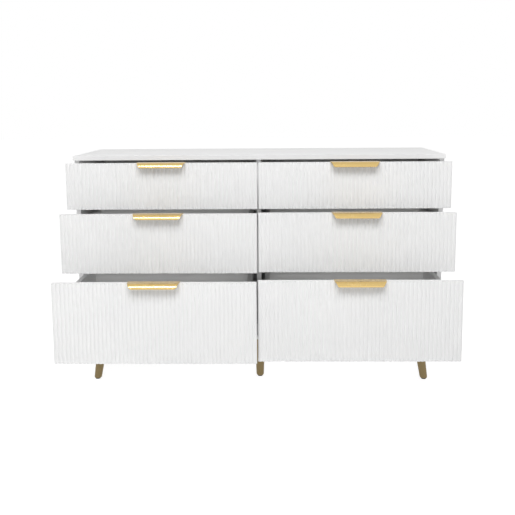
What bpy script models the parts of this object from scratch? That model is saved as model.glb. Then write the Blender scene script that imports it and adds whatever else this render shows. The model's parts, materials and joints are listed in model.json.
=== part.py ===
"""A six-drawer dresser with reeded fronts, metal edge pulls and tapered legs.

Metres, +Z up, +X to the right, and the drawers open towards -Y. The origin is on the floor, in the
middle of the space that the dresser takes with its drawers pulled out as modelled.
"""

import math

import bmesh
import bpy
from mathutils import Vector

MM = 0.001

# ---- Overall size -----------------------------------------------------------------------------
WIDTH = 1200 * MM
DEPTH = 400 * MM
HEIGHT = 762 * MM
LEG_HEIGHT = 150 * MM

# ---- Carcass ----------------------------------------------------------------------------------
BOARD = 15 * MM
BACK_THICKNESS = 3 * MM
JOINT_GAP = 0.3 * MM  # between two pieces that touch

# ---- Drawer fronts ----------------------------------------------------------------------------
FRONT_THICKNESS = 18 * MM
FRONT_GAP = 3 * MM  # between neighbouring fronts, and to the top and bottom boards
FRONT_TO_CARCASS = 2 * MM  # left behind a closed front
TOP_FRONT_HEIGHT = 145 * MM
MIDDLE_FRONT_HEIGHT = 182 * MM
REED_PITCH = 12 * MM
REED_DEPTH = 4.5 * MM
REED_STEPS = 4  # flats round one reed

# ---- Drawer boxes -----------------------------------------------------------------------------
BOX_BOARD = 15 * MM
BOX_CLEARANCE = 9 * MM  # behind a closed drawer
BOX_LIFT = 15 * MM  # from the front's lower edge to the box's
BOX_DROP = 35 * MM  # from the front's upper edge to the box's
BASE_THICKNESS = 3 * MM
BASE_RISE = 10 * MM  # from the box's lower edge to its base
GROOVE_DEPTH = 6 * MM

# ---- Full-extension runners -------------------------------------------------------------------
RUNNER_SPACE = 12.7 * MM  # between the box's side and the carcass
RUNNER_SHORTFALL = 20 * MM  # by which a runner is shorter than the box
RUNNER_SETBACK = 3 * MM  # behind the front edge of the carcass's sides
RUNNER_RISE = 35 * MM  # from the box's lower edge to the runner's middle
MIDDLE_HEIGHT = 33 * MM
MIDDLE_WIDTH = 7.5 * MM
MIDDLE_SHEET = 1.2 * MM
MIDDLE_STANDOFF = 2.6 * MM  # from the carcass to the middle member

# ---- How far each drawer is pulled out --------------------------------------------------------
OPENINGS = {
    "top_left": 93 * MM,
    "top_right": 92 * MM,
    "middle_left": 182 * MM,
    "middle_right": 168 * MM,
    "bottom_left": 298 * MM,
    "bottom_right": 276 * MM,
}

# ---- Edge pulls -------------------------------------------------------------------------------
PULL_SHEET = 1.5 * MM
PULL_LENGTH = 152 * MM
PULL_REACH = 21 * MM  # in front of the reeds
PULL_DROP = 15.5 * MM  # from the top of the pull to its lip's lower edge
PULL_BEND = 12 * MM  # radius of the bend over which the lip turns down
PULL_TAPER = 11 * MM  # by which each end draws in towards the lip
PULL_HOOK = 20 * MM  # down the front's back
BEND_STEPS = 6

# ---- Legs -------------------------------------------------------------------------------------
LEG_TOP = 36 * MM  # diameters
LEG_TIP = 25 * MM
LEG_PAD = 17 * MM
LEG_PAD_HEIGHT = 2.5 * MM
LEG_ROUNDING = 6 * MM
LEG_PLATE = 52 * MM
LEG_PLATE_THICKNESS = 3 * MM
LEG_SPLAY = 20 * MM  # from a corner leg's top to its tip, sideways and again forwards or backwards
LEG_INSET_X = 66 * MM  # from the carcass's side to a corner leg's middle, at its top
LEG_INSET_Y = 62 * MM  # from the carcass's front or back to a corner leg's middle, at its top
CENTRE_LEG_INSET_Y = 70 * MM
LEG_SIDES = 20

# ---- What follows from these ------------------------------------------------------------------
FRONT_Y = (max(OPENINGS.values()) + PULL_REACH - DEPTH) / 2  # the closed fronts' reeds
BACK_Y = FRONT_Y + DEPTH
CARCASS_FRONT_Y = FRONT_Y + FRONT_THICKNESS + FRONT_TO_CARCASS
CARCASS_BACK_Y = BACK_Y - BACK_THICKNESS - JOINT_GAP
FLOOR_OF_CARCASS = LEG_HEIGHT + BOARD
CEILING_OF_CARCASS = HEIGHT - BOARD

BAY_WIDTH = (WIDTH - 3 * BOARD) / 2
BAY_X = (BOARD + BAY_WIDTH) / 2
FRONT_WIDTH = (WIDTH - FRONT_GAP) / 2
FRONT_X = (FRONT_WIDTH + FRONT_GAP) / 2
BOX_WIDTH = BAY_WIDTH - 2 * RUNNER_SPACE
BOX_LENGTH = DEPTH - FRONT_THICKNESS - BACK_THICKNESS - BOX_CLEARANCE
RUNNER_LENGTH = BOX_LENGTH - RUNNER_SHORTFALL
BOTTOM_FRONT_HEIGHT = (
    CEILING_OF_CARCASS - FLOOR_OF_CARCASS - 4 * FRONT_GAP - TOP_FRONT_HEIGHT - MIDDLE_FRONT_HEIGHT
)

BOTTOM_FRONT_Z = FLOOR_OF_CARCASS + FRONT_GAP
MIDDLE_FRONT_Z = BOTTOM_FRONT_Z + BOTTOM_FRONT_HEIGHT + FRONT_GAP
TOP_FRONT_Z = MIDDLE_FRONT_Z + MIDDLE_FRONT_HEIGHT + FRONT_GAP
ROWS = {
    "top": (TOP_FRONT_Z, TOP_FRONT_HEIGHT),
    "middle": (MIDDLE_FRONT_Z, MIDDLE_FRONT_HEIGHT),
    "bottom": (BOTTOM_FRONT_Z, BOTTOM_FRONT_HEIGHT),
}
SIDES = {"left": -1, "right": 1}


# ---- Helpers ----------------------------------------------------------------------------------
def clear_scene():
    for obj in list(bpy.data.objects):
        bpy.data.objects.remove(obj, do_unlink=True)


def finish(name, colour, roughness, metallic=0.0):
    """A plain material."""
    material = bpy.data.materials.new(name)
    material.use_nodes = True
    shader = material.node_tree.nodes["Principled BSDF"]
    shader.inputs["Base Color"].default_value = (*colour, 1.0)
    shader.inputs["Roughness"].default_value = roughness
    shader.inputs["Metallic"].default_value = metallic
    return material


def add_empty(name, location):
    """The moving frame of a drawer or of a pair of runners."""
    empty = bpy.data.objects.new(name, None)
    empty.location = location
    bpy.context.scene.collection.objects.link(empty)
    return empty


def add_piece(name, bm, material, location, parent=None):
    """An object made of the bmesh, placed at the location, in its parent's frame."""
    bmesh.ops.recalc_face_normals(bm, faces=bm.faces)
    mesh = bpy.data.meshes.new(name)
    bm.to_mesh(mesh)
    bm.free()
    mesh.materials.append(material)
    piece = bpy.data.objects.new(name, mesh)
    bpy.context.scene.collection.objects.link(piece)
    piece.parent = parent
    piece.location = location
    return piece


def add_board(name, low, high, material, parent=None):
    """A rectangular board between two corners."""
    low, high = Vector(low), Vector(high)
    bm = bmesh.new()
    bmesh.ops.create_cube(bm, size=1.0)
    bmesh.ops.scale(bm, vec=high - low, verts=bm.verts)
    return add_piece(name, bm, material, (low + high) / 2, parent)


def extruded(outline, direction):
    """A bmesh of the closed outline, extruded along the direction."""
    bm = bmesh.new()
    face = bm.faces.new([bm.verts.new(point) for point in outline])
    grown = bmesh.ops.extrude_face_region(bm, geom=[face])
    moved = [part for part in grown["geom"] if isinstance(part, bmesh.types.BMVert)]
    bmesh.ops.translate(bm, vec=direction, verts=moved)
    return bm


# ---- Carcass ----------------------------------------------------------------------------------
def build_carcass(white):
    half = WIDTH / 2
    add_board(
        "top_panel", (-half, FRONT_Y, CEILING_OF_CARCASS), (half, BACK_Y, HEIGHT), white
    )
    add_board(
        "bottom_panel",
        (-half, FRONT_Y, LEG_HEIGHT),
        (half, CARCASS_BACK_Y, FLOOR_OF_CARCASS),
        white,
    )
    low_z = FLOOR_OF_CARCASS + JOINT_GAP
    high_z = CEILING_OF_CARCASS - JOINT_GAP
    uprights = {
        "side_panel_left": -half,
        "centre_divider": -BOARD / 2,
        "side_panel_right": half - BOARD,
    }
    for name, x in uprights.items():
        add_board(
            name,
            (x, CARCASS_FRONT_Y, low_z),
            (x + BOARD, CARCASS_BACK_Y, high_z),
            white,
        )
    add_board(
        "back_panel",
        (-half, BACK_Y - BACK_THICKNESS, LEG_HEIGHT),
        (half, BACK_Y, high_z),
        white,
    )


# ---- Legs -------------------------------------------------------------------------------------
def leg_profile():
    """(radius, height) from the pad's middle up to the fixing plate's."""
    tip, pad = LEG_TIP / 2, LEG_PAD / 2
    tube_height = LEG_HEIGHT - JOINT_GAP - LEG_PLATE_THICKNESS
    profile = [(pad, 0.0), (pad, LEG_PAD_HEIGHT)]
    steps = 4
    for step in range(steps + 1):
        turn = step / steps * math.pi / 2
        radius = tip - LEG_ROUNDING * (1 - math.sin(turn))
        height = LEG_PAD_HEIGHT + LEG_ROUNDING * (1 - math.cos(turn))
        if radius > pad:
            profile.append((radius, height))
    profile.append((LEG_TOP / 2, tube_height))
    profile.append((LEG_PLATE / 2, tube_height))
    profile.append((LEG_PLATE / 2, tube_height + LEG_PLATE_THICKNESS))
    return profile


def add_leg(name, x, y, splay_x, splay_y, brass):
    """A turned leg whose rings shift sideways with height, so that its ends stay level."""
    bm = bmesh.new()
    height = LEG_HEIGHT - JOINT_GAP
    rings = []
    for radius, z in leg_profile():
        lean = 1 - z / height
        ring = []
        for side in range(LEG_SIDES):
            angle = 2 * math.pi * side / LEG_SIDES
            offset_x = splay_x * lean + radius * math.cos(angle)
            offset_y = splay_y * lean + radius * math.sin(angle)
            ring.append(bm.verts.new((offset_x, offset_y, z)))
        rings.append(ring)
    for lower, upper in zip(rings, rings[1:]):
        for side in range(LEG_SIDES):
            after = (side + 1) % LEG_SIDES
            bm.faces.new((lower[side], lower[after], upper[after], upper[side]))
    bm.faces.new(reversed(rings[0]))
    bm.faces.new(rings[-1])
    leg = add_piece(name, bm, brass, (x, y, 0.0))
    leg.data.shade_smooth()
    leg.data.set_sharp_from_angle(angle=math.radians(35))


def build_legs(brass):
    rows = {"front": (FRONT_Y, 1), "rear": (BACK_Y, -1)}
    for row, (edge_y, inwards) in rows.items():
        corner_y = edge_y + inwards * LEG_INSET_Y
        for side, sign in SIDES.items():
            add_leg(
                f"leg_{row}_{side}",
                sign * (WIDTH / 2 - LEG_INSET_X),
                corner_y,
                sign * LEG_SPLAY,
                -inwards * LEG_SPLAY,
                brass,
            )
        centre_y = edge_y + inwards * CENTRE_LEG_INSET_Y
        add_leg(f"leg_{row}_centre", 0.0, centre_y, 0.0, 0.0, brass)


# ---- Drawers ----------------------------------------------------------------------------------
# A drawer's own frame: X from the middle of its bay, Y back from its reeds, Z up from the lower
# edge of its front.
def reeded_outline(centre_x):
    """The front from above: rounded reeds along y = 0 and a flat back."""
    count = round(FRONT_WIDTH / REED_PITCH)
    pitch = FRONT_WIDTH / count
    left = centre_x - FRONT_WIDTH / 2
    outline = [(left + FRONT_WIDTH, FRONT_THICKNESS, 0.0), (left, FRONT_THICKNESS, 0.0)]
    for step in range(count * REED_STEPS + 1):
        across = step / REED_STEPS
        depth = REED_DEPTH * (1 - math.sin(math.pi * (across % 1)) ** 0.75)
        outline.append((left + across * pitch, depth, 0.0))
    return outline


def add_front(name, side, height, white, frame):
    centre_x = side * (FRONT_X - BAY_X)
    bm = extruded(reeded_outline(centre_x), (0, 0, height))
    add_piece(f"{name}_front", bm, white, (0, 0, 0), frame)


def pull_path():
    """(y, z, inset) along the middle of the pull's sheet, from its hook's lower edge to its lip's.

    z is measured from the front's upper edge, and inset is how far the ends draw in there.
    """
    half = PULL_SHEET / 2
    top = JOINT_GAP + half
    rear = FRONT_THICKNESS + JOINT_GAP + half
    reach = -(PULL_REACH - half)
    lip = JOINT_GAP + PULL_SHEET - PULL_DROP
    path = [(rear, top - PULL_HOOK), (rear, top), (0.0, top)]
    for step in range(BEND_STEPS + 1):
        turn = step / BEND_STEPS * math.pi / 2
        y = reach + PULL_BEND * (1 - math.sin(turn))
        z = top - PULL_BEND * (1 - math.cos(turn))
        path.append((y, z))
    path.append((reach, lip))
    whole = math.hypot(reach, top - lip)
    return [
        (y, z, PULL_TAPER * min(1.0, math.hypot(y, top - z) / whole) if y < 0 else 0.0)
        for y, z in path
    ]


def add_pull(name, side, front_height, brass, frame):
    """A bent sheet hooked over the front's upper edge, with a lip that hangs in front of it."""
    bm = bmesh.new()
    strips = []
    for y, z, inset in pull_path():
        half = PULL_LENGTH / 2 - inset
        strips.append([bm.verts.new((x, y, z)) for x in (-half, half)])
    for before, after in zip(strips, strips[1:]):
        bm.faces.new((before[0], before[1], after[1], after[0]))
    centre_x = side * (FRONT_X - BAY_X)
    pull = add_piece(f"{name}_pull", bm, brass, (centre_x, 0, front_height), frame)
    wall = pull.modifiers.new("sheet", "SOLIDIFY")
    wall.thickness = PULL_SHEET
    wall.offset = 0.0
    wall.use_even_offset = True


def add_box(name, front_height, white, frame):
    """The drawer's sides, grooved for its base, with its back between them."""
    half = BOX_WIDTH / 2
    start = FRONT_THICKNESS + JOINT_GAP
    end = FRONT_THICKNESS + BOX_LENGTH
    low, high = BOX_LIFT, front_height - BOX_DROP
    groove_low = low + BASE_RISE - JOINT_GAP
    groove_high = low + BASE_RISE + BASE_THICKNESS + JOINT_GAP
    for side, sign in SIDES.items():
        outer, inner = sign * half, sign * (half - BOX_BOARD)
        bed = inner + sign * GROOVE_DEPTH
        outline = [
            (outer, start, low),
            (outer, start, high),
            (inner, start, high),
            (inner, start, groove_high),
            (bed, start, groove_high),
            (bed, start, groove_low),
            (inner, start, groove_low),
            (inner, start, low),
        ]
        bm = extruded(outline, (0, end - start, 0))
        add_piece(f"{name}_side_{side}", bm, white, (0, 0, 0), frame)
    between = half - BOX_BOARD - JOINT_GAP
    base_top = low + BASE_RISE + BASE_THICKNESS
    add_board(
        f"{name}_back",
        (-between, end - BOX_BOARD, base_top + JOINT_GAP),
        (between, end, high),
        white,
        frame,
    )
    base_half = half - BOX_BOARD + GROOVE_DEPTH - JOINT_GAP
    add_board(
        f"{name}_base",
        (-base_half, start, low + BASE_RISE),
        (base_half, end, base_top),
        white,
        frame,
    )


def add_runners(name, opening, bay_x, row_z, steel):
    """The middle members of a drawer's two runners, which travel half as far as the drawer."""
    frame = add_empty(
        f"{name}_runner_frame",
        (bay_x, CARCASS_FRONT_Y + RUNNER_SETBACK - opening / 2, row_z + BOX_LIFT + RUNNER_RISE),
    )
    height = MIDDLE_HEIGHT / 2
    for side, sign in SIDES.items():
        web = sign * (BAY_WIDTH / 2 - MIDDLE_STANDOFF)
        inside = web - sign * MIDDLE_SHEET
        lip = web - sign * MIDDLE_WIDTH
        outline = [
            (web, 0, -height),
            (web, 0, height),
            (lip, 0, height),
            (lip, 0, height - MIDDLE_SHEET),
            (inside, 0, height - MIDDLE_SHEET),
            (inside, 0, MIDDLE_SHEET - height),
            (lip, 0, MIDDLE_SHEET - height),
            (lip, 0, -height),
        ]
        bm = extruded(outline, (0, RUNNER_LENGTH, 0))
        add_piece(f"{name}_runner_{side}", bm, steel, (0, 0, 0), frame)


def build_drawers(white, brass, steel):
    for row, (row_z, front_height) in ROWS.items():
        for column, side in SIDES.items():
            opening = OPENINGS[f"{row}_{column}"]
            name = f"drawer_{row}_{column}"
            frame = add_empty(f"{name}_frame", (side * BAY_X, FRONT_Y - opening, row_z))
            add_front(name, side, front_height, white, frame)
            add_pull(name, side, front_height, brass, frame)
            add_box(name, front_height, white, frame)
            add_runners(name, opening, side * BAY_X, row_z, steel)


def build_dresser():
    clear_scene()
    white = finish("white_lacquer", (0.83, 0.83, 0.83), 0.45)
    brass = finish("brushed_brass", (0.64, 0.46, 0.19), 0.32, 1.0)
    steel = finish("black_steel", (0.04, 0.04, 0.045), 0.4, 0.8)
    build_carcass(white)
    build_legs(brass)
    build_drawers(white, brass, steel)


build_dresser()
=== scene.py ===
# %% [markdown]
# # A six-drawer dresser with reeded fronts
# This lesson dresses a finished cabinetmaker's model. The frame already holds every board, leg and
# runner at its real size, and the drawers already slide. What is left is what the eye judges: eased
# edges, milled reeds, bent brass, folded runners, screws, and finishes that react to light.

# %% Load the frame
import json
import math
from contextlib import contextmanager

import bmesh
import bpy
from mathutils import Matrix, Vector

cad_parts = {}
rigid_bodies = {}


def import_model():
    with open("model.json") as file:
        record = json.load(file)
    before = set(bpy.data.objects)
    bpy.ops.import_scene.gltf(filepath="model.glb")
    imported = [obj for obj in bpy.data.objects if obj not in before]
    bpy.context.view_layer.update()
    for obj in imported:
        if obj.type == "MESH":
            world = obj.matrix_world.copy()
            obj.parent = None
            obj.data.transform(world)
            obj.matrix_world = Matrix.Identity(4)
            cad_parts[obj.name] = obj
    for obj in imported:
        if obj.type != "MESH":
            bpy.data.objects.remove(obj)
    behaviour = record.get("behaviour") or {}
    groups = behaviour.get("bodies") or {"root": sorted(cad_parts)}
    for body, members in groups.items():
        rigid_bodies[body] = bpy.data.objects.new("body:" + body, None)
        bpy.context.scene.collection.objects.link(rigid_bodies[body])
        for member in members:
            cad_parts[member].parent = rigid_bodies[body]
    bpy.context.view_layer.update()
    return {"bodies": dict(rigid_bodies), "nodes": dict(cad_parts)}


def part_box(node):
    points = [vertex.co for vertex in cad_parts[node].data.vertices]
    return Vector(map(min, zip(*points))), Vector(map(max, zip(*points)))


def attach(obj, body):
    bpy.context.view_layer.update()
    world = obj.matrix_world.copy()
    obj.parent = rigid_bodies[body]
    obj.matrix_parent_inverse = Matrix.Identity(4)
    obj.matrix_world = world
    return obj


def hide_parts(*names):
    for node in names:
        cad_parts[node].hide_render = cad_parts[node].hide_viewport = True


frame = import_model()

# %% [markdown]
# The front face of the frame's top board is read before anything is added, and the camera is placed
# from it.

MM = 0.001
FRONT_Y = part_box("top_panel")[0].y

# %% [markdown]
# ## Camera and studio
# The dresser is seen from a little above its top, almost straight on, through a slightly long lens,
# which keeps the outer drawers from stretching. The camera looks down by eight degrees, and the lens
# is shifted down for the rest, so the legs come into the picture and the uprights hardly lean.

# %% Place the camera
EYE = Vector((51.6 * MM, FRONT_Y - 2.438, 0.9143))
TILT, TURN, LEAN = -0.1373, 0.0227, -0.0072  # radians: down, to the left and clockwise

camera_data = bpy.data.cameras.new("camera")
camera_data.sensor_width = 36
camera_data.lens = 53
camera_data.shift_y = -0.0885
camera = bpy.data.objects.new("camera", camera_data)
bpy.context.scene.collection.objects.link(camera)
camera.matrix_world = (
    Matrix.Translation(EYE)
    @ Matrix.Rotation(TURN, 4, "Z")
    @ Matrix.Rotation(math.radians(90) + TILT, 4, "X")
    @ Matrix.Rotation(LEAN, 4, "Z")
)
bpy.context.scene.camera = camera
print("the camera stands", round(-EYE.y, 2), "m in front of the middle")

# %% [markdown]
# White furniture is best shown in a white room. One broad soft panel stands high in front, halfway
# between level and overhead, so that the top and the drawer fronts get the same light and each pull
# drops a short soft shadow. A long low panel hangs just over the camera, so it reaches into every gap
# that the camera can see. The room lights matt surfaces at a third of its strength, which keeps some
# shade in the reeds, yet the camera and the polished metal see it pure white. A narrow strip lights
# nothing and only mirrors in the brass, as the highlight on its lips.

# %% Light the studio
ROOM_FILL = 0.3

bpy.context.scene.view_settings.view_transform = "Standard"


def make_room(fill):
    """A world that is white to the camera and to reflections, and weaker to matt surfaces."""
    world = bpy.data.worlds.new("studio")
    world.use_nodes = True
    tree = world.node_tree
    backdrop = tree.nodes["Background"]
    backdrop.inputs["Color"].default_value = (1.0, 1.0, 1.0, 1.0)
    softer = tree.nodes.new("ShaderNodeBackground")
    softer.inputs["Color"].default_value = (1.0, 1.0, 1.0, 1.0)
    softer.inputs["Strength"].default_value = fill
    ray = tree.nodes.new("ShaderNodeLightPath")
    choice = tree.nodes.new("ShaderNodeMixShader")
    tree.links.new(ray.outputs["Is Diffuse Ray"], choice.inputs["Fac"])
    tree.links.new(backdrop.outputs[0], choice.inputs[1])
    tree.links.new(softer.outputs[0], choice.inputs[2])
    tree.links.new(choice.outputs[0], tree.nodes["World Output"].inputs["Surface"])
    return world


def add_panel_light(name, place, target, width, height, watts, mirrored):
    """A soft rectangular light that faces the target. It lights things, or else it only mirrors."""
    data = bpy.data.lights.new(name, "AREA")
    data.shape = "RECTANGLE"
    data.size, data.size_y = width, height
    data.energy = watts
    light = bpy.data.objects.new(name, data)
    light.location = place
    light.rotation_euler = (Vector(target) - Vector(place)).to_track_quat("-Z", "Y").to_euler()
    light.visible_glossy = mirrored
    light.visible_diffuse = not mirrored
    bpy.context.scene.collection.objects.link(light)
    return light


bpy.context.scene.world = make_room(ROOM_FILL)
ABOVE_CAMERA = EYE + Vector((0, -0.15, 0.05))
add_panel_light(
    "key_panel",
    (-0.2, -3.3, 4.4),
    (0.0, -0.1, 0.4),
    width=3.6,
    height=2.2,
    watts=192,
    mirrored=False,
)
add_panel_light(
    "fill_panel", ABOVE_CAMERA, (0.0, 0.0, 0.6), width=1.6, height=0.16, watts=11, mirrored=False
)
add_panel_light(
    "strip_panel",
    (-0.8, -3.7, 2.2),
    (-0.28, -0.2, 0.6),
    width=0.1,
    height=1.2,
    watts=48,
    mirrored=True,
)
print("a key panel, a fill panel and a strip in a white room")

# %% [markdown]
# ## Finishes
# Each finish is a Principled shader fed by small shared node groups. A group is worth making when
# two finishes need the same effect with other numbers: here rubbed edges with a painted highlight, the
# skin of a sprayed or foiled board, and the fine lines of brushed metal.

# %% Helpers for building node trees
def add_node(tree, kind, **settings):
    """A node with its inputs or its own settings filled in."""
    node = tree.nodes.new(kind)
    for key, value in settings.items():
        if key in node.inputs:
            node.inputs[key].default_value = value
        else:
            setattr(node, key, value)
    return node


def join(tree, source, output, target, entry):
    tree.links.new(source.outputs[output], target.inputs[entry])


def new_group(name, inputs, outputs):
    """An empty node group with named sockets, and its two end nodes."""
    tree = bpy.data.node_groups.new(name, "ShaderNodeTree")
    for label, kind, value in inputs:
        socket = tree.interface.new_socket(label, in_out="INPUT", socket_type=kind)
        if value is not None:
            socket.default_value = value
    for label, kind in outputs:
        tree.interface.new_socket(label, in_out="OUTPUT", socket_type=kind)
    return tree, tree.nodes.new("NodeGroupInput"), tree.nodes.new("NodeGroupOutput")


def math_node(tree, operation, first=None, second=None, clamp=False):
    """A Math node whose inputs are numbers or other nodes' outputs."""
    node = add_node(tree, "ShaderNodeMath", operation=operation, use_clamp=clamp)
    for slot, value in ((0, first), (1, second)):
        if isinstance(value, (int, float)):
            node.inputs[slot].default_value = value
        elif value is not None:
            tree.links.new(value, node.inputs[slot])
    return node


print("node helpers ready")

# %% [markdown]
# Handling rubs a finish at its corners first, and the lighter colour given to the edges here is
# also a painted highlight on every corner. The Bevel node gives the normal that a rounded corner
# would have. Where that differs from the true normal there is an edge, and noise breaks the band up,
# so that the rub and the painted highlight come and go along it.

# %% The rubbed-edge and painted-highlight group
EDGE_CONTRAST = 6.0


def make_edge_group():
    tree, start, end = new_group(
        "rubbed_and_highlit_edges",
        [
            ("Color", "NodeSocketColor", None),
            ("Edge Color", "NodeSocketColor", None),
            ("Vector", "NodeSocketVector", None),
            ("Width", "NodeSocketFloat", 1.0 * MM),
            ("Amount", "NodeSocketFloat", 0.5),
        ],
        [("Color", "NodeSocketColor")],
    )
    rounded = add_node(tree, "ShaderNodeBevel", samples=4)
    join(tree, start, "Width", rounded, "Radius")
    true_normal = add_node(tree, "ShaderNodeNewGeometry")
    agree = add_node(tree, "ShaderNodeVectorMath", operation="DOT_PRODUCT")
    tree.links.new(rounded.outputs["Normal"], agree.inputs[0])
    tree.links.new(true_normal.outputs["Normal"], agree.inputs[1])
    edge = math_node(tree, "SUBTRACT", 1.0, agree.outputs["Value"])
    edge = math_node(tree, "MULTIPLY", edge.outputs[0], EDGE_CONTRAST, clamp=True)
    patches = add_node(tree, "ShaderNodeTexNoise", Scale=55.0, Detail=4.0, Roughness=0.6)
    join(tree, start, "Vector", patches, "Vector")
    broken = math_node(tree, "MULTIPLY", edge.outputs[0], patches.outputs["Fac"])
    mask = math_node(tree, "MULTIPLY", broken.outputs[0], start.outputs["Amount"], clamp=True)
    # The edge colour mixed in here is rubbed wear and a painted highlight on the corners.
    blend = add_node(tree, "ShaderNodeMix", data_type="RGBA")
    tree.links.new(mask.outputs[0], blend.inputs["Factor"])
    tree.links.new(start.outputs["Color"], blend.inputs[6])
    tree.links.new(start.outputs["Edge Color"], blend.inputs[7])
    tree.links.new(blend.outputs[2], end.inputs["Color"])
    return tree


EDGE_GROUP = make_edge_group()
print("group", EDGE_GROUP.name, "ready")

# %% [markdown]
# Sprayed lacquer is never quite flat: it keeps a shallow orange peel a few millimetres across, over a
# much slower unevenness of thickness that only shows as a drift in gloss and tone. A foiled board has
# the same two layers with a finer, sharper peel. One group serves both.

# %% The coated-board group
def make_skin_group():
    tree, start, end = new_group(
        "coated_skin",
        [
            ("Vector", "NodeSocketVector", None),
            ("Peel Scale", "NodeSocketFloat", 320.0),
            ("Color", "NodeSocketColor", None),
            ("Shade Color", "NodeSocketColor", None),
            ("Gloss Low", "NodeSocketFloat", 0.36),
            ("Gloss High", "NodeSocketFloat", 0.5),
        ],
        [
            ("Color", "NodeSocketColor"),
            ("Roughness", "NodeSocketFloat"),
            ("Height", "NodeSocketFloat"),
        ],
    )
    peel = add_node(tree, "ShaderNodeTexNoise", Detail=2.0, Roughness=0.45)
    join(tree, start, "Vector", peel, "Vector")
    join(tree, start, "Peel Scale", peel, "Scale")
    drift = add_node(tree, "ShaderNodeTexNoise", Scale=5.0, Detail=5.0, Roughness=0.55)
    join(tree, start, "Vector", drift, "Vector")
    tone = add_node(tree, "ShaderNodeMapRange")
    tone.inputs["From Min"].default_value = 0.35
    tone.inputs["From Max"].default_value = 0.65
    join(tree, drift, "Fac", tone, "Value")
    colour = add_node(tree, "ShaderNodeMix", data_type="RGBA")
    tree.links.new(tone.outputs["Result"], colour.inputs["Factor"])
    tree.links.new(start.outputs["Color"], colour.inputs[6])
    tree.links.new(start.outputs["Shade Color"], colour.inputs[7])
    smears = add_node(tree, "ShaderNodeTexNoise", Scale=18.0, Detail=6.0, Roughness=0.6)
    join(tree, start, "Vector", smears, "Vector")
    gloss = add_node(tree, "ShaderNodeMapRange")
    gloss.inputs["From Min"].default_value = 0.3
    gloss.inputs["From Max"].default_value = 0.7
    join(tree, smears, "Fac", gloss, "Value")
    join(tree, start, "Gloss Low", gloss, "To Min")
    join(tree, start, "Gloss High", gloss, "To Max")
    tree.links.new(colour.outputs[2], end.inputs["Color"])
    tree.links.new(gloss.outputs["Result"], end.inputs["Roughness"])
    tree.links.new(peel.outputs["Fac"], end.inputs["Height"])
    return tree


SKIN_GROUP = make_skin_group()
print("group", SKIN_GROUP.name, "ready")

# %% [markdown]
# Brushed metal is covered in parallel scratches. Noise stretched many times along one direction looks
# just like them, so the group takes a stretch for each axis and the brushing can run along a pull or
# down a leg.

# %% The brushed-metal group
def make_brush_group():
    tree, start, end = new_group(
        "brushed_lines",
        [
            ("Vector", "NodeSocketVector", None),
            ("Stretch", "NodeSocketVector", None),
            ("Color", "NodeSocketColor", None),
            ("Line Color", "NodeSocketColor", None),
            ("Gloss Low", "NodeSocketFloat", 0.2),
            ("Gloss High", "NodeSocketFloat", 0.4),
        ],
        [
            ("Color", "NodeSocketColor"),
            ("Roughness", "NodeSocketFloat"),
            ("Height", "NodeSocketFloat"),
        ],
    )
    stretched = add_node(tree, "ShaderNodeVectorMath", operation="MULTIPLY")
    tree.links.new(start.outputs["Vector"], stretched.inputs[0])
    tree.links.new(start.outputs["Stretch"], stretched.inputs[1])
    lines = add_node(tree, "ShaderNodeTexNoise", Scale=1.0, Detail=5.0, Roughness=0.65)
    tree.links.new(stretched.outputs[0], lines.inputs["Vector"])
    colour = add_node(tree, "ShaderNodeMix", data_type="RGBA")
    tree.links.new(lines.outputs["Fac"], colour.inputs["Factor"])
    tree.links.new(start.outputs["Color"], colour.inputs[6])
    tree.links.new(start.outputs["Line Color"], colour.inputs[7])
    handling = add_node(tree, "ShaderNodeTexNoise", Scale=30.0, Detail=4.0, Roughness=0.6)
    join(tree, start, "Vector", handling, "Vector")
    mixed = math_node(tree, "MULTIPLY", lines.outputs["Fac"], handling.outputs["Fac"])
    gloss = add_node(tree, "ShaderNodeMapRange")
    gloss.inputs["From Min"].default_value = 0.12
    gloss.inputs["From Max"].default_value = 0.42
    tree.links.new(mixed.outputs[0], gloss.inputs["Value"])
    join(tree, start, "Gloss Low", gloss, "To Min")
    join(tree, start, "Gloss High", gloss, "To Max")
    tree.links.new(colour.outputs[2], end.inputs["Color"])
    tree.links.new(gloss.outputs["Result"], end.inputs["Roughness"])
    tree.links.new(lines.outputs["Fac"], end.inputs["Height"])
    return tree


BRUSH_GROUP = make_brush_group()
print("group", BRUSH_GROUP.name, "ready")

# %% [markdown]
# Two recipes now cover nearly everything. A coated board is skin, then rubbed edges that are also a
# painted highlight, then a very shallow bump. A brushed metal swaps the skin for lines. The bump
# distances are the real ones, a few hundredths of a millimetre at most, because a deeper bump makes a
# clean finish look like plaster.

# %% Recipes for coated boards and brushed metals
BOARD_RUB_AND_HIGHLIGHT_WIDTH = 0.8 * MM
METAL_RUB_AND_HIGHLIGHT_WIDTH = 0.5 * MM
COATING = {"Specular IOR Level": 0.32}


def place_group(tree, group):
    node = tree.nodes.new("ShaderNodeGroup")
    node.node_tree = group
    return node


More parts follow.
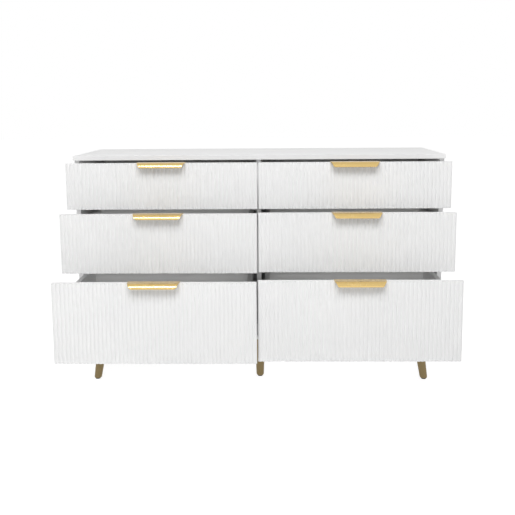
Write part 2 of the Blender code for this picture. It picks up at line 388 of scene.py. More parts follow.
def finish_tree(name, surface, edge_colour, edge_width, edge_amount, relief, shader_values):
    """A material whose colour, gloss and relief come from the placed surface group."""
    material = bpy.data.materials.new(name)
    material.use_nodes = True
    tree = material.node_tree
    shader = tree.nodes["Principled BSDF"]
    for key, value in shader_values.items():
        shader.inputs[key].default_value = value
    place = add_node(tree, "ShaderNodeTexCoord")
    group, values = surface
    skin = place_group(tree, group)
    for key, value in values.items():
        skin.inputs[key].default_value = value
    join(tree, place, "Object", skin, "Vector")
    # Every edge takes a lighter colour, partly rubbed wear and partly a painted highlight.
    edges = place_group(tree, EDGE_GROUP)
    edges.inputs["Edge Color"].default_value = (*edge_colour, 1.0)
    edges.inputs["Width"].default_value = edge_width
    edges.inputs["Amount"].default_value = edge_amount
    join(tree, place, "Object", edges, "Vector")
    join(tree, skin, "Color", edges, "Color")
    join(tree, edges, "Color", shader, "Base Color")
    join(tree, skin, "Roughness", shader, "Roughness")
    bump = add_node(tree, "ShaderNodeBump", Strength=1.0, Distance=relief)
    join(tree, skin, "Height", bump, "Height")
    join(tree, bump, "Normal", shader, "Normal")
    return material


def coated(name, colour, shade, gloss, peel_scale, relief, edge=(0.95, 0.95, 0.94), rub_and_highlight=0.6):
    surface = (
        SKIN_GROUP,
        {
            "Color": (*colour, 1.0),
            "Shade Color": (*shade, 1.0),
            "Peel Scale": peel_scale,
            "Gloss Low": gloss[0],
            "Gloss High": gloss[1],
        },
    )
    return finish_tree(name, surface, edge, BOARD_RUB_AND_HIGHLIGHT_WIDTH, rub_and_highlight, relief, COATING)


def brushed(name, colour, line, gloss, stretch, relief, edge, rub_and_highlight=0.5):
    surface = (
        BRUSH_GROUP,
        {
            "Color": (*colour, 1.0),
            "Line Color": (*line, 1.0),
            "Stretch": stretch,
            "Gloss Low": gloss[0],
            "Gloss High": gloss[1],
        },
    )
    return finish_tree(name, surface, edge, METAL_RUB_AND_HIGHLIGHT_WIDTH, rub_and_highlight, relief, {"Metallic": 1.0})


print("recipes ready: coated and brushed")

# %% [markdown]
# The whites differ by how they are made. The reeded fronts are sprayed, so they have a soft peel. The
# boards are foiled, a touch whiter and flatter, and their edge banding is a separate strip that is a
# little glossier. The thin panels behind and below are printed paper foil, the dullest of all.

# %% Mix the finishes
LACQUER = coated(
    "sprayed_lacquer",
    (0.84, 0.84, 0.838),
    (0.82, 0.821, 0.821),
    (0.36, 0.5),
    300.0,
    0.015 * MM,
    edge=(0.88, 0.88, 0.878),
    rub_and_highlight=0.15,
)
BOARD_FOIL = coated(
    "board_foil", (0.88, 0.88, 0.878), (0.86, 0.86, 0.86), (0.4, 0.52), 900.0, 0.012 * MM
)
EDGE_BAND = coated(
    "edge_band", (0.89, 0.89, 0.888), (0.87, 0.87, 0.87), (0.3, 0.4), 500.0, 0.012 * MM
)
PANEL_FOIL = coated(
    "panel_foil", (0.86, 0.86, 0.855), (0.84, 0.84, 0.835), (0.5, 0.65), 1400.0, 0.02 * MM, rub_and_highlight=0.3
)
PULL_BRASS = brushed(
    "pull_brass",
    (0.7, 0.51, 0.215),
    (0.64, 0.455, 0.18),
    (0.2, 0.32),
    (14.0, 2200.0, 2200.0),
    0.005 * MM,
    (0.8, 0.62, 0.32),
)
# Painted shade: the legs' brass is far darker than the pulls', for the dark underside they reflect.
SHADED_LEG_BRASS = brushed(
    "leg_brass_painted_shade",
    (0.24, 0.183, 0.097),
    (0.18, 0.135, 0.066),
    (0.3, 0.46),
    (1500.0, 1500.0, 12.0),
    0.008 * MM,
    (0.55, 0.42, 0.2),
)
RUNNER_BLACK = coated(
    "runner_black",
    (0.022, 0.022, 0.024),
    (0.032, 0.032, 0.034),
    (0.32, 0.5),
    700.0,
    0.01 * MM,
    edge=(0.12, 0.12, 0.125),
)
ZINC = brushed(
    "zinc_plate",
    (0.66, 0.67, 0.69),
    (0.52, 0.53, 0.56),
    (0.22, 0.42),
    (900.0, 900.0, 900.0),
    0.004 * MM,
    (0.8, 0.8, 0.82),
)
GLIDE_PLASTIC = coated(
    "glide_plastic",
    (0.02, 0.02, 0.02),
    (0.035, 0.035, 0.035),
    (0.45, 0.65),
    1200.0,
    0.03 * MM,
    edge=(0.09, 0.09, 0.09),
)
print(len(bpy.data.materials), "materials in the file")

# %% [markdown]
# ## Modelling helpers
# Everything from here on is modelled the way a hand would do it: add a primitive at its size, step
# into edit mode, pick edges or faces by where they lie, and extrude, bevel or cut. These few helpers
# only do the selecting, because an operator acts on whatever happens to be selected.

# %% Select, edit, cut and finish
def only(*pieces):
    """Selects these pieces alone and makes the first one active."""
    bpy.ops.object.select_all(action="DESELECT")
    for piece in pieces:
        piece.select_set(True)
    bpy.context.view_layer.objects.active = pieces[0]


@contextmanager
def editing(piece):
    """Edit mode on this piece for as long as the block runs."""
    only(piece)
    bpy.ops.object.mode_set(mode="EDIT")
    yield
    bpy.ops.object.mode_set(mode="OBJECT")


def pick(piece, kind, test):
    """Selects the vertices, edges or faces that pass the test, given their middle, and no others."""
    bpy.ops.mesh.select_mode(type=kind)
    bpy.ops.mesh.select_all(action="DESELECT")
    shape = bmesh.from_edit_mesh(piece.data)
    for part in {"VERT": shape.verts, "EDGE": shape.edges, "FACE": shape.faces}[kind]:
        corners = [part] if kind == "VERT" else list(part.verts)
        middle = sum((corner.co for corner in corners), Vector()) / len(corners)
        part.select_set(bool(test(middle, part)))
    shape.select_flush_mode()
    bmesh.update_edit_mesh(piece.data)


def near(first, second, reach=0.02 * MM):
    return abs(first - second) < reach


def runs_along(edge, axis):
    """True for an edge parallel to axis 0, 1 or 2."""
    span = edge.verts[1].co - edge.verts[0].co
    return abs(span[axis]) > 0.999 * span.length


def extrude(shift):
    """Extrudes what is selected and moves it by the shift."""
    bpy.ops.mesh.extrude_region_move(TRANSFORM_OT_translate={"value": tuple(shift)})


def apply_modifier(piece, kind, **settings):
    only(piece)
    modifier = piece.modifiers.new(kind.lower(), kind)
    for key, value in settings.items():
        setattr(modifier, key, value)
    bpy.ops.object.modifier_apply(modifier=modifier.name)


def ease_edges(piece, width, segments=2, angle=40):
    """Rounds the sharp edges, then keeps the flats flat with area-weighted normals."""
    apply_modifier(
        piece,
        "BEVEL",
        width=width,
        segments=segments,
        limit_method="ANGLE",
        angle_limit=math.radians(angle),
        use_clamp_overlap=False,
    )
    bpy.ops.object.shade_smooth_by_angle(angle=math.radians(angle))
    apply_modifier(piece, "WEIGHTED_NORMAL", keep_sharp=True, weight=80)


def bake_place(piece):
    """Moves the piece's place, turn and size into its mesh."""
    only(piece)
    bpy.ops.object.transform_apply(location=True, rotation=True, scale=True)


def add_block(name, low, high):
    """A cube primitive between two corners."""
    low, high = Vector(low), Vector(high)
    bpy.ops.object.select_all(action="DESELECT")
    bpy.ops.mesh.primitive_cube_add(size=1, location=(low + high) / 2, scale=high - low)
    piece = bpy.context.object
    piece.name = name
    bake_place(piece)
    return piece


def add_rod(name, foot, radius, height, sides=32):
    """An upright cylinder primitive that stands on the point foot."""
    bpy.ops.object.select_all(action="DESELECT")
    bpy.ops.mesh.primitive_cylinder_add(
        vertices=sides,
        radius=radius,
        depth=height,
        location=Vector(foot) + Vector((0, 0, height / 2)),
    )
    piece = bpy.context.object
    piece.name = name
    bake_place(piece)
    return piece


# Small parts are modelled looking up. These turn their copies to look down, back or sideways.
FACES_DOWN = Matrix.Rotation(math.pi, 4, "X")
FACES_BACK = Matrix.Rotation(math.radians(-90), 4, "X")
FACES_SIDE = {side: Matrix.Rotation(math.radians(90 * side), 4, "Y") for side in (-1, 1)}
HALF_TURN = Matrix.Rotation(math.pi, 4, "Z")


def copy_piece(piece, name, shift, turn=None):
    """A copy with its own mesh, turned and then moved by the shift."""
    copy = bpy.data.objects.new(name, piece.data.copy())
    bpy.context.scene.collection.objects.link(copy)
    if turn is not None:
        copy.data.transform(turn)
    copy.data.transform(Matrix.Translation(shift))
    return copy


patterns = {}
starts = {}  # the lowest corner of the box that a pattern was made for


def repeat(kind, make):
    """The pattern piece of this kind: made the first time it is asked for, and only copied later."""
    if kind not in patterns:
        patterns[kind] = make()
    return patterns[kind]


def merge_pieces(name, pieces):
    """Joins pieces that are one part, such as the screws of one fitting."""
    only(*pieces)
    bpy.ops.object.join()
    pieces[0].name = name
    return pieces[0]


def settle(piece, finish, body, slot, *nodes):
    """Gives a finished piece its finish, its body and the frame nodes that it stands for."""
    if finish is not None:
        piece.data.materials.clear()
        piece.data.materials.append(finish)
    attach(piece, body)
    if nodes:
        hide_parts(*nodes)
    return piece


print("modelling helpers ready")

# %% [markdown]
# ## Carcass
# A flat-pack carcass is foiled board with a strip of banding glued to each cut edge. A block with
# eased edges gives the shape. The banding is a second finish on the narrow faces, which is cheaper
# than modelling a strip half a millimetre thick and looks the same.

# %% Board with banded edges
CARCASS_EASE = 0.7 * MM
DRAWER_EASE = 0.5 * MM
BACK_EASE = 0.4 * MM
BASE_EASE = 0.3 * MM


def add_board(name, low, high, flat_axis, ease=CARCASS_EASE):
    """A foiled board, flat across the given axis, whose narrow faces carry edge banding."""
    board = add_block(name, low, high)
    ease_edges(board, ease, segments=3)
    board.data.materials.append(BOARD_FOIL)
    board.data.materials.append(EDGE_BAND)
    for face in board.data.polygons:
        face.material_index = 0 if abs(face.normal[flat_axis]) > 0.9 else 1
    return board


FLAT_AXIS = {
    "top_panel": 2,
    "bottom_panel": 2,
    "side_panel_left": 0,
    "side_panel_right": 0,
    "centre_divider": 0,
}
for node, axis in FLAT_AXIS.items():
    low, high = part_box(node)
    board = add_board(f"{node}_board", low, high, axis)
    settle(board, None, "cabinet", "lacquered_board", node)
print("carcass boards:", len(FLAT_AXIS))

# %% [markdown]
# The back is a thin foiled panel pinned round its rim and down the divider. Pins are small, so each is
# a low dome; they matter only to someone looking at the back, and there they give it its scale.

# %% Back panel and its pins
PIN_STANDS = 0.5 * MM  # the sheet gives this much up, so that pin heads stay inside the frame's box
low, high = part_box("back_panel")
high.y -= PIN_STANDS
back = add_block("back_sheet", low, high)
ease_edges(back, BACK_EASE)
settle(back, PANEL_FOIL, "cabinet", "thin_panel", "back_panel")

PIN_RADIUS = 2.2 * MM
PIN_HEIGHT = 0.7 * MM
PIN_SUNK = 0.25 * MM
PIN_INSET = 7.5 * MM
PINS_ACROSS = 13
PINS_UP = 5


def pin_places(low, high):
    """Along both long edges, and up the two sides and the divider."""
    across = [
        low.x + PIN_INSET + step / (PINS_ACROSS - 1) * (high.x - low.x - 2 * PIN_INSET)
        for step in range(PINS_ACROSS)
    ]
    upwards = [
        low.z + PIN_INSET + step / (PINS_UP + 1) * (high.z - low.z - 2 * PIN_INSET)
        for step in range(1, PINS_UP + 1)
    ]
    places = [(x, z) for x in across for z in (low.z + PIN_INSET, high.z - PIN_INSET)]
    places += [(x, z) for z in upwards for x in (across[0], 0.0, across[-1])]
    return places


bpy.ops.object.select_all(action="DESELECT")
bpy.ops.mesh.primitive_uv_sphere_add(segments=10, ring_count=6, radius=PIN_RADIUS)
pin = bpy.context.object
with editing(pin):
    bpy.ops.mesh.select_all(action="SELECT")
    bpy.ops.transform.resize(value=(1, 1, PIN_HEIGHT / PIN_RADIUS))
    bpy.ops.mesh.bisect(plane_co=(0, 0, 0), plane_no=(0, 0, 1), use_fill=True, clear_inner=True)
pins = [
    copy_piece(pin, f"back_pin_{count}", (x, high.y - PIN_SUNK, z), FACES_BACK)
    for count, (x, z) in enumerate(pin_places(low, high))
]
bpy.data.objects.remove(pin)
pins = merge_pieces("back_pins", pins)
only(pins)
bpy.ops.object.shade_smooth_by_angle(angle=math.radians(60))
settle(pins, ZINC, "cabinet", "zinc_hardware")
print("the back is held by", len(pin_places(low, high)), "pins")

# %% [markdown]
# ## Screws
# One pan-head screw serves the leg plates, the pulls and the runners. It is a short rod whose end is
# inset three times. The first inset raises it, and the last pushes it in, which leaves a domed rim
# round a recess for the driver.

# %% Model one screw head
HEAD_RADIUS = 3.4 * MM
HEAD_HEIGHT = 1.2 * MM


def make_screw_head():
    """A screw head that stands on the origin and looks up."""
    head = add_rod("screw_head", (0, 0, 0), HEAD_RADIUS, HEAD_HEIGHT, sides=16)
    with editing(head):
        pick(head, "FACE", lambda middle, face: face.normal.z > 0.9)
        bpy.ops.mesh.inset(thickness=0.4 * HEAD_RADIUS, depth=0.3 * HEAD_HEIGHT)
        bpy.ops.mesh.inset(thickness=0.15 * HEAD_RADIUS)
        bpy.ops.mesh.inset(thickness=0.06 * HEAD_RADIUS, depth=-0.7 * HEAD_HEIGHT)
    only(head)
    bpy.ops.object.shade_smooth_by_angle(angle=math.radians(50))
    return head


def add_screws(name, places, turn):
    """One piece made of a screw head at each place, all turned the same way."""
    head = repeat("screw_head", make_screw_head)
    heads = [
        copy_piece(head, f"{name}_{count}", place, turn) for count, place in enumerate(places)
    ]
    return merge_pieces(name, heads)


print("screw heads are", round(2 * HEAD_RADIUS / MM, 1), "mm across")

# %% [markdown]
# ## Legs
# A leg is a tapered tube welded to a plate, with a plastic glide pressed into its tip. Starting from a
# filled circle at the tip and extruding it to the plate leaves the ends level even when the leg leans,
# and a bevel turns the tip in towards the glide. The weld is a thin squashed torus, half sunk into
# both. The four corner legs are one leg turned a quarter at a time, and the two in the middle stand
# upright.

# %% Tube, weld, plate and glide
LEG_TIP_RADIUS = 12.5 * MM
LEG_TOP_RADIUS = 18 * MM
LEG_TIP_HEIGHT = 2.2 * MM
TIP_ROUNDING = 5.5 * MM
PLATE_RADIUS = 26 * MM
PLATE_THICKNESS = 3 * MM
PLATE_EASE = 0.5 * MM
WELD_RADIUS = 1.8 * MM
WELD_SQUASH = 0.7  # a weld bead sags, so it is lower than it is wide
WELD_GAP = 0.3 * MM
GLIDE_RADIUS = 8.5 * MM
GLIDE_PRESSED_IN = 1 * MM
GLIDE_EASE = 0.8 * MM
LEG_SPLAY = 20 * MM
SCREW_CIRCLE = 22 * MM


def make_tube(tip, top):
    """A round tube from the tip's middle to the top's, with level ends and a rounded tip."""
    bpy.ops.object.select_all(action="DESELECT")
    bpy.ops.mesh.primitive_circle_add(
        vertices=48, radius=LEG_TIP_RADIUS, fill_type="NGON", location=tip
    )
    tube = bpy.context.object
    bake_place(tube)
    swell = LEG_TOP_RADIUS / LEG_TIP_RADIUS
    with editing(tube):
        bpy.ops.mesh.select_all(action="SELECT")
        extrude(top - tip)
        bpy.ops.transform.resize(value=(swell, swell, 1))
        pick(tube, "EDGE", lambda middle, edge: near(middle.z, tip.z))
        bpy.ops.mesh.bevel(offset=TIP_ROUNDING, segments=6, affect="EDGES")
        bpy.ops.mesh.select_all(action="SELECT")
        bpy.ops.mesh.normals_make_consistent(inside=False)
    return tube


def make_leg_metal(tip, top):
    """Tube, plate and weld as one piece, for a leg whose plate is centred on the upright axis."""
    tube = make_tube(tip, top)
    plate = add_rod("leg_plate", top, PLATE_RADIUS, PLATE_THICKNESS, sides=64)
    ease_edges(plate, PLATE_EASE)
    bpy.ops.object.select_all(action="DESELECT")
    bpy.ops.mesh.primitive_torus_add(
        location=top,
        major_radius=LEG_TOP_RADIUS + WELD_GAP,
        minor_radius=WELD_RADIUS,
        major_segments=48,
        minor_segments=10,
    )
    weld = bpy.context.object
    bake_place(weld)
    with editing(weld):
        bpy.ops.mesh.select_all(action="SELECT")
        bpy.ops.transform.resize(value=(1, 1, WELD_SQUASH), center_override=tuple(top))
    whole = merge_pieces("leg_metal", [tube, plate, weld])
    only(whole)
    bpy.ops.object.shade_smooth_by_angle(angle=math.radians(40))
    return whole


def make_glide(tip):
    """The plastic button under the tube's tip."""
    height = LEG_TIP_HEIGHT + GLIDE_PRESSED_IN
    glide = add_rod("leg_glide", (tip.x, tip.y, 0), GLIDE_RADIUS, height)
    ease_edges(glide, GLIDE_EASE, segments=3)
    return glide


print("a leg narrows from", round(2 * LEG_TOP_RADIUS / MM), "to", round(2 * LEG_TIP_RADIUS / MM), "mm")

# %% [markdown]
# Each leg finds its plate from its node's box: the box runs from the plate's far edge to the tip's, so
# the plate lies against the side that the leg leans away from.

# %% Set the six legs
QUARTER_TURNS = {(1, 1): 0, (-1, 1): 1, (-1, -1): 2, (1, -1): 3}


def build_leg(node):
    """A leg's metal, glide and four screws."""
    low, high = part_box(node)
    row, side = node.split("_")[1:]
    lean_x = {"left": -1, "centre": 0, "right": 1}[side]
    lean_y = 0 if side == "centre" else {"front": -1, "rear": 1}[row]
    kind = "upright" if side == "centre" else "splayed"
    middle = (low + high) / 2
    plate_x = middle.x - lean_x * ((high.x - low.x) / 2 - PLATE_RADIUS)
    plate_y = middle.y - lean_y * ((high.y - low.y) / 2 - PLATE_RADIUS)
    splay = LEG_SPLAY if kind == "splayed" else 0.0
    top = Vector((0, 0, high.z - PLATE_THICKNESS))
    tip = Vector((splay, splay, LEG_TIP_HEIGHT))
    turn = Matrix.Rotation(math.radians(90) * QUARTER_TURNS.get((lean_x, lean_y), 0), 4, "Z")
    metal = repeat(f"{kind}_metal", lambda: make_leg_metal(tip, top))
    glide = repeat(f"{kind}_glide", lambda: make_glide(tip))
    place = Vector((plate_x, plate_y, 0))
    metal = copy_piece(metal, f"{node}_metal", place, turn)
    settle(metal, SHADED_LEG_BRASS, "cabinet", "brass", node)
    glide = copy_piece(glide, f"{node}_glide", place, turn)
    settle(glide, GLIDE_PLASTIC, "cabinet", "black_plastic")
    corners = [math.radians(45 + 90 * quarter) for quarter in range(4)]
    places = [
        place + top + Vector((math.cos(angle), math.sin(angle), 0)) * SCREW_CIRCLE
        for angle in corners
    ]
    screws = add_screws(f"{node}_screws", places, FACES_DOWN)
    settle(screws, ZINC, "cabinet", "zinc_hardware")


LEGS = [node for node in sorted(frame["nodes"]) if node.startswith("leg_")]
for node in LEGS:
    build_leg(node)
print("legs:", ", ".join(LEGS))

# %% [markdown]
# ## Reeded fronts
# Each front is fibreboard milled into a row of half-round reeds. One reed is shaped from a block: its
# two front corners are rounded over and flattened to the depth of the cut. An Array with merging lays
# fifty side by side, and a small bevel in the valleys is what the round nose of the cutter leaves.

# %% One reed, fifty times
REEDS = 50
REED_DEPTH = 3.3 * MM
REED_SEGMENTS = 5
REED_SHOULDER = 0.47  # of the pitch, so that a sliver of flat is left on the crest
REED_PROFILE = 0.46
VALLEY_RADIUS = 0.55 * MM
FRONT_EASE = 0.3 * MM


def make_reeded_front(low, high):
    """A front whose reeds run up it and whose ends and back are flat."""
    pitch = (high.x - low.x) / REEDS
    shoulder = REED_SHOULDER * pitch
    valley = low.y + REED_DEPTH
    front = add_block("reeded_front", low, (low.x + pitch, high.y, high.z))
    with editing(front):
        pick(front, "EDGE", lambda middle, edge: runs_along(edge, 2) and near(middle.y, low.y))
        bpy.ops.mesh.bevel(offset=shoulder, segments=REED_SEGMENTS, profile=REED_PROFILE, affect="EDGES")
        pick(front, "VERT", lambda middle, vertex: middle.y < low.y + shoulder * 1.01)
        bpy.ops.transform.resize(
            value=(1, REED_DEPTH / shoulder, 1), center_override=(low.x, low.y, low.z)
        )
        pick(
            front,
            "FACE",
            lambda middle, face: near(middle.x, low.x, 1e-5) or near(middle.x, low.x + pitch, 1e-5),
        )
        bpy.ops.mesh.delete(type="FACE")
    apply_modifier(
        front,
        "ARRAY",
        count=REEDS,
        use_relative_offset=False,
        use_constant_offset=True,
        constant_offset_displace=(pitch, 0, 0),
        use_merge_vertices=True,
        merge_threshold=0.02 * MM,
    )
    with editing(front):
        pick(
            front,
            "EDGE",
            lambda middle, edge: runs_along(edge, 2)
            and near(middle.y, valley)
            and low.x + pitch / 2 < middle.x < high.x - pitch / 2,
        )
        bpy.ops.mesh.bevel(offset=VALLEY_RADIUS, segments=2, affect="EDGES")
        for end in (low.x, high.x):
            pick(front, "EDGE", lambda middle, edge: edge.is_boundary and near(middle.x, end))
            bpy.ops.mesh.edge_face_add()
        bpy.ops.mesh.select_all(action="SELECT")
        bpy.ops.mesh.normals_make_consistent(inside=False)
    ease_edges(front, FRONT_EASE, angle=50)
    return front


print(REEDS, "reeds to a front, each", round(REED_DEPTH / MM, 1), "mm deep")

# %% [markdown]
# ## Edge pulls
# A pull is one bent strip of brass. It starts as a flat plane lying on the front's top edge. Its rear
# edge is extruded down as the hook that takes the screws, and its front edge as the lip. Once it is
# bent, two slanting cuts take the ends off, as a saw would, and the lip's corners are rounded so that
# they cannot catch a sleeve.

# %% Bend a pull
PULL_SHEET = 1.5 * MM
PULL_DROP = 15.5 * MM
PULL_EASE = 0.3 * MM
PULL_BEND = 11.5 * MM
HOOK_BEND = 2 * MM
HOOK_REACH = 3 * MM  # what lies nearer to the hook than this keeps its full length
LIP_CORNER = 3.5 * MM
CUT_BACK, CUT_DOWN = 0.14, 0.53  # how much an end loses per length of reach and of drop


def make_pull(low, high, front_y):
    """A pull that fills its frame node's box; front_y is the reeds' plane."""
    half_sheet = PULL_SHEET / 2
    top, lip = high.z - half_sheet, high.z - PULL_DROP
    ahead, behind = low.y + half_sheet, high.y - half_sheet
    centre_x, length = (low.x + high.x) / 2, high.x - low.x
    bpy.ops.object.select_all(action="DESELECT")
    bpy.ops.mesh.primitive_plane_add(size=1, location=(centre_x, (ahead + behind) / 2, top))
    pull = bpy.context.object
    pull.scale = (length, behind - ahead, 1)
    bake_place(pull)
    with editing(pull):
        pick(pull, "EDGE", lambda middle, edge: near(middle.y, behind))
        extrude((0, 0, low.z - top))
        pick(pull, "EDGE", lambda middle, edge: near(middle.y, ahead))
        extrude((0, 0, lip - top))
        for y, radius, steps in ((ahead, PULL_BEND, 9), (behind, HOOK_BEND, 3)):
            pick(pull, "EDGE", lambda middle, edge: near(middle.y, y) and near(middle.z, top))
            bpy.ops.mesh.bevel(offset=radius, segments=steps, affect="EDGES")
        for side in (-1, 1):
            pick(pull, "FACE", lambda middle, face: middle.y < behind - HOOK_REACH)
            bpy.ops.mesh.bisect(
                plane_co=(centre_x + side * length / 2, front_y, top),
                plane_no=(side, -CUT_BACK, -CUT_DOWN),
                clear_outer=True,
            )
        pick(pull, "VERT", lambda middle, vertex: near(middle.z, lip))
        bpy.ops.mesh.bevel(offset=LIP_CORNER, segments=5, affect="VERTICES")
        bpy.ops.mesh.select_all(action="SELECT")
        bpy.ops.mesh.normals_make_consistent(inside=False)
    apply_modifier(pull, "SOLIDIFY", thickness=PULL_SHEET, offset=0, use_even_offset=True)
    ease_edges(pull, PULL_EASE, angle=50)
    return pull


print("a pull is bent from", round(PULL_SHEET / MM, 1), "mm brass")

# %% [markdown]
# ## Drawer boxes
# The two sides are boards with a groove near their lower edge, cut by slicing the inner face twice and
# pushing the strip between the cuts inwards. The back stands on the thin base, which slides in the
# groove. Cam fittings near the front are the round plugs that everyone who has built such a drawer
# knows.

# %% Sides, back and base
GROOVE_DEPTH = 6 * MM
GROOVE_PLAY = 0.3 * MM
CAM_RADIUS = 7.5 * MM
CAM_HEIGHT = 1.2 * MM
CAM_RIM = 1.1 * MM
CAM_DISH = 0.5 * MM  # depth of the dished face, and of the driver's socket below it
CAM_SOCKET_INSET = 3.2 * MM
CAM_SUNK = 0.9 * MM
CAM_SETBACK = 34 * MM
CAM_INSET = 20 * MM


def make_drawer_side(low, high, base_low, base_high, inner_sign):
    """A grooved side board; inner_sign says which way along X its inner face looks."""
    inner_x = high.x if inner_sign > 0 else low.x
    side = add_block("drawer_side", low, high)
    with editing(side):
        for level in (base_low - GROOVE_PLAY, base_high + GROOVE_PLAY):
            bpy.ops.mesh.select_all(action="SELECT")
            bpy.ops.mesh.bisect(plane_co=(0, 0, level), plane_no=(0, 0, 1))
        pick(
            side,
            "FACE",
            lambda middle, face: near(middle.x, inner_x) and base_low < middle.z < base_high,
        )
        extrude((-inner_sign * GROOVE_DEPTH, 0, 0))
    ease_edges(side, DRAWER_EASE)
    side.data.materials.append(BOARD_FOIL)
    side.data.materials.append(EDGE_BAND)
    for face in side.data.polygons:
        face.material_index = 0 if abs(face.normal.x) > 0.9 else 1
    return side


def make_cam():
    """A cam plug that lies on the origin and looks up: a rim, a dished face and a round socket."""
    cam = add_rod("cam_plug", (0, 0, 0), CAM_RADIUS, CAM_HEIGHT)
    with editing(cam):
        pick(cam, "FACE", lambda middle, face: face.normal.z > 0.9)
        bpy.ops.mesh.inset(thickness=CAM_RIM)
        bpy.ops.mesh.inset(thickness=0.3 * MM, depth=-CAM_DISH)
        bpy.ops.mesh.inset(thickness=CAM_SOCKET_INSET)
        bpy.ops.mesh.inset(thickness=0.4 * MM, depth=-CAM_DISH)
    only(cam)
    bpy.ops.object.shade_smooth_by_angle(angle=math.radians(40))
    return cam


print("grooves are", round(GROOVE_DEPTH / MM), "mm deep")

# %% [markdown]
# Drawers of one row are the same, so each board is modelled for the first of them and copied to the
# other: a copy only has to be shifted from one node's box to the next.

# %% Assemble a drawer box
def copy_to_box(kind, name, low, make):
    """Makes this kind of board at its first place, or copies it to a box that starts at low."""
    pattern = repeat(kind, make)
    start = starts.setdefault(kind, low.copy())
    return copy_piece(pattern, name, low - start)


def make_base(low, high):
    """The thin sheet that slides into the grooves."""
    base = add_block("base", low, high)
    ease_edges(base, BASE_EASE)
    return base


def build_drawer_side(key, row, side, inner_sign, base_low, base_high):
    """One side wall and the two cam plugs in its inner face."""
    body = f"drawer_{key}"
    low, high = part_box(f"{body}_side_{side}")
    board = copy_to_box(
        f"{row}_{side}_wall",
        f"{body}_{side}_wall",
        low,
        lambda: make_drawer_side(low, high, base_low.z, base_high.z, inner_sign),
    )
    settle(board, None, body, "lacquered_board", f"{body}_side_{side}")
    inner_x = high.x if inner_sign > 0 else low.x
    cam = repeat("cam_plug", make_cam)
    cams = [
        copy_piece(
            cam,
            f"{body}_{side}_cam_{count}",
            (inner_x - inner_sign * CAM_SUNK, low.y + CAM_SETBACK, z),
            FACES_SIDE[inner_sign],
        )
        for count, z in enumerate((base_high.z + CAM_INSET, high.z - CAM_INSET))
    ]
    settle(merge_pieces(f"{body}_{side}_cams", cams), ZINC, body, "zinc_hardware")


def build_drawer_box(key, row):
    """Both sides, the back and the base of one drawer."""
    body = f"drawer_{key}"
    base_low, base_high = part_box(f"{body}_base")
    for side, inner_sign in (("left", 1), ("right", -1)):
        build_drawer_side(key, row, side, inner_sign, base_low, base_high)
    low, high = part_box(f"{body}_back")
    back = copy_to_box(
        f"{row}_back", f"{body}_back_wall", low, lambda: add_board("back", low, high, 1, DRAWER_EASE)
    )
    settle(back, None, body, "lacquered_board", f"{body}_back")
    base = copy_to_box(
        "base", f"{body}_base_sheet", base_low, lambda: make_base(base_low, base_high)
    )
    settle(base, PANEL_FOIL, body, "thin_panel", f"{body}_base")


print("ready to copy from box to box")

# %% [markdown]
# ## Runners
# A full-extension runner is three nested channels of folded steel. The outer one is screwed to the
# carcass, the inner one to the drawer, and the middle one travels half as far as the drawer. Each is
# drawn as an upright strip whose long edges are extruded sideways into flanges and then given the
# sheet's thickness. A half turn makes a left-hand channel out of a right-hand one.

# %% Fold a channel
SHEET = 1.2 * MM
SHEET_EASE = 0.25 * MM
FOLD_RADIUS = 1.3 * MM
OUTER_HEIGHT = 45.5 * MM
OUTER_DEPTH = 10.2 * MM
OUTER_LIP = 1.6 * MM
INNER_HEIGHT = 20.4 * MM
INNER_DEPTH = 6.5 * MM
RUNNER_SPACE = 12.7 * MM
RUNNER_CLEARANCE = 0.1 * MM
RUNNER_SETBACK = 3 * MM
RUNNER_SCREWS = (0.1, 0.38, 0.72)  # along the inner member, from its front end


def make_channel(length, height, depth, lip=0.0):
    """A C of folded steel, centred on the origin, with its web at X = 0 and its flanges along +X."""
    half = SHEET / 2
    top = height / 2 - half
    bpy.ops.object.select_all(action="DESELECT")
    bpy.ops.mesh.primitive_plane_add(
        size=1, location=(half, 0, 0), rotation=(0, math.radians(90), 0)
    )
    channel = bpy.context.object
    channel.scale = (2 * top, length, 1)
    bake_place(channel)
    with editing(channel):
        for level, inwards in ((top, -1), (-top, 1)):
            pick(channel, "EDGE", lambda middle, edge: near(middle.z, level) and near(middle.x, half))
            extrude((depth - SHEET, 0, 0))
            if lip:
                extrude((0, 0, inwards * lip))
        pick(channel, "EDGE", lambda middle, edge: runs_along(edge, 1) and not edge.is_boundary)
        bpy.ops.mesh.bevel(offset=FOLD_RADIUS, segments=3, affect="EDGES")
        bpy.ops.mesh.select_all(action="SELECT")
        bpy.ops.mesh.normals_make_consistent(inside=False)
    apply_modifier(channel, "SOLIDIFY", thickness=SHEET, offset=0, use_even_offset=True)
    ease_edges(channel, SHEET_EASE, segments=1, angle=50)
    return channel


print("channels fold from", round(SHEET / MM, 1), "mm steel")

# %% [markdown]
# The three members share one height on the drawer's side. The node of the frame is the middle member,
# so its box gives the length, the height and how far the runner has come out. The inner member has
# come out twice as far as that, and the three screws that hold it lie in its channel.

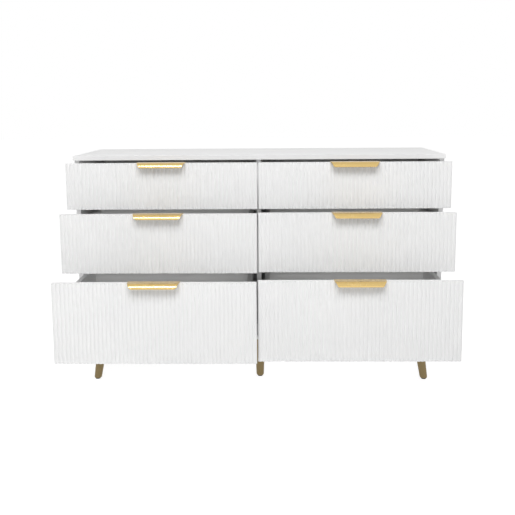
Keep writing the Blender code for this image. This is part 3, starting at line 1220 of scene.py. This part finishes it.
# %% Set a drawer's two runners
def build_runner(key, side, outwards):
    """The three members of one runner and its screws; outwards is -1 on the left, 1 on the right."""
    drawer, node = f"drawer_{key}", f"drawer_{key}_runner_{side}"
    low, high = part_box(node)
    length = high.y - low.y
    centre_y, centre_z = (low.y + high.y) / 2, (low.z + high.z) / 2
    wall_low, wall_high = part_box(f"{drawer}_side_{side}")
    wall_x = wall_low.x if outwards < 0 else wall_high.x
    carcass_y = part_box("side_panel_left")[0].y + RUNNER_SETBACK + length / 2
    inner_y = 2 * centre_y - carcass_y
    inwards_turn = None if outwards < 0 else HALF_TURN
    outwards_turn = HALF_TURN if outwards < 0 else None

    outer = repeat("outer", lambda: make_channel(length, OUTER_HEIGHT, OUTER_DEPTH, OUTER_LIP))
    carcass_x = wall_x + outwards * (RUNNER_SPACE - RUNNER_CLEARANCE)
    outer = copy_piece(outer, f"{node}_outer", (carcass_x, carcass_y, centre_z), inwards_turn)
    settle(outer, RUNNER_BLACK, "cabinet", "runner_steel")

    middle = repeat("middle", lambda: make_channel(length, high.z - low.z, high.x - low.x))
    middle_x = low.x if outwards < 0 else high.x
    middle = copy_piece(middle, f"{node}_middle", (middle_x, centre_y, centre_z), inwards_turn)
    settle(middle, RUNNER_BLACK, f"runners_{key}", "runner_steel", node)

    inner = repeat("inner", lambda: make_channel(length, INNER_HEIGHT, INNER_DEPTH))
    inner_x = wall_x + outwards * RUNNER_CLEARANCE
    inner = copy_piece(inner, f"{node}_inner", (inner_x, inner_y, centre_z), outwards_turn)
    settle(inner, RUNNER_BLACK, drawer, "runner_steel")

    front_end = inner_y - length / 2
    places = [
        (inner_x + outwards * SHEET, front_end + along * length, centre_z)
        for along in RUNNER_SCREWS
    ]
    screws = add_screws(f"{node}_screws", places, FACES_SIDE[outwards])
    settle(screws, ZINC, drawer, "zinc_hardware")


print("a runner takes", round(RUNNER_SPACE / MM, 1), "mm beside the drawer")

# %% [markdown]
# ## Drawers
# With every tool ready, the six drawers are one loop: front, pull with its two screws, box, runners.

# %% Build the six drawers
PULL_SCREWS = (0.2, 0.8)  # along the pull
PULL_SCREW_RISE = 8 * MM
PULL_SCREW_SUNK = 0.1 * MM

DRAWERS = sorted(body[len("drawer_"):] for body in frame["bodies"] if body.startswith("drawer_"))
for key in DRAWERS:
    body = f"drawer_{key}"
    row = key.split("_")[0]
    low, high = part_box(f"{body}_front")
    front = copy_to_box(
        f"{row}_front",
        f"{body}_reeded_front",
        low,
        lambda: make_reeded_front(low, high),
    )
    settle(front, LACQUER, body, "lacquered_front", f"{body}_front")
    pull_low, pull_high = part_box(f"{body}_pull")
    pull = copy_to_box(
        "pull", f"{body}_edge_pull", pull_low, lambda: make_pull(pull_low, pull_high, low.y)
    )
    settle(pull, PULL_BRASS, body, "brass", f"{body}_pull")
    span = pull_high.x - pull_low.x
    places = [
        (pull_low.x + along * span, pull_high.y - PULL_SCREW_SUNK, pull_low.z + PULL_SCREW_RISE)
        for along in PULL_SCREWS
    ]
    screws = add_screws(f"{body}_pull_screws", places, FACES_BACK)
    settle(screws, ZINC, body, "zinc_hardware")
    build_drawer_box(key, row)
    for side, outwards in (("left", -1), ("right", 1)):
        build_runner(key, side, outwards)
print("drawers:", ", ".join(DRAWERS))

# %% [markdown]
# The pattern pieces have done their work and leave the scene before anything is counted.

# %% Put the patterns away
for pattern in patterns.values():
    bpy.data.objects.remove(pattern)
print("put away:", ", ".join(patterns))

# %% [markdown]
# ## Floor
# A plain pale floor, large enough to have no edge in view. It glows almost as white as the room
# behind it, so that only the soft shadow under the dresser marks it. Matt surfaces see it as a grey
# card instead, or the glow would light the drawers from below.

# %% Lay the floor
bpy.ops.object.select_all(action="DESELECT")
bpy.ops.mesh.primitive_plane_add(size=40, location=(0, 0, 0))
floor = bpy.context.object
floor.name = "studio_floor"
floor_finish = bpy.data.materials.new("studio_floor")
floor_finish.use_nodes = True
floor_tree = floor_finish.node_tree
floor_shader = floor_tree.nodes["Principled BSDF"]
floor_shader.inputs["Base Color"].default_value = (0.4, 0.4, 0.4, 1.0)
floor_shader.inputs["Roughness"].default_value = 0.9
floor_shader.inputs["Emission Color"].default_value = (1.0, 1.0, 1.0, 1.0)
floor_shader.inputs["Emission Strength"].default_value = 0.84
card = add_node(floor_tree, "ShaderNodeBsdfDiffuse", Color=(0.5, 0.5, 0.5, 1.0))
ray = add_node(floor_tree, "ShaderNodeLightPath")
choice = add_node(floor_tree, "ShaderNodeMixShader")
floor_tree.links.new(ray.outputs["Is Diffuse Ray"], choice.inputs["Fac"])
floor_tree.links.new(floor_shader.outputs[0], choice.inputs[1])
floor_tree.links.new(card.outputs[0], choice.inputs[2])
floor_tree.links.new(choice.outputs[0], floor_tree.nodes["Material Output"].inputs["Surface"])
floor.data.materials.append(floor_finish)
print("floor laid, outside the dresser's own pieces")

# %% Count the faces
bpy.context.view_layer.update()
faces = sum(len(piece.data.polygons) for piece in bpy.data.objects if piece.type == "MESH")
print("the scene holds", faces, "faces")
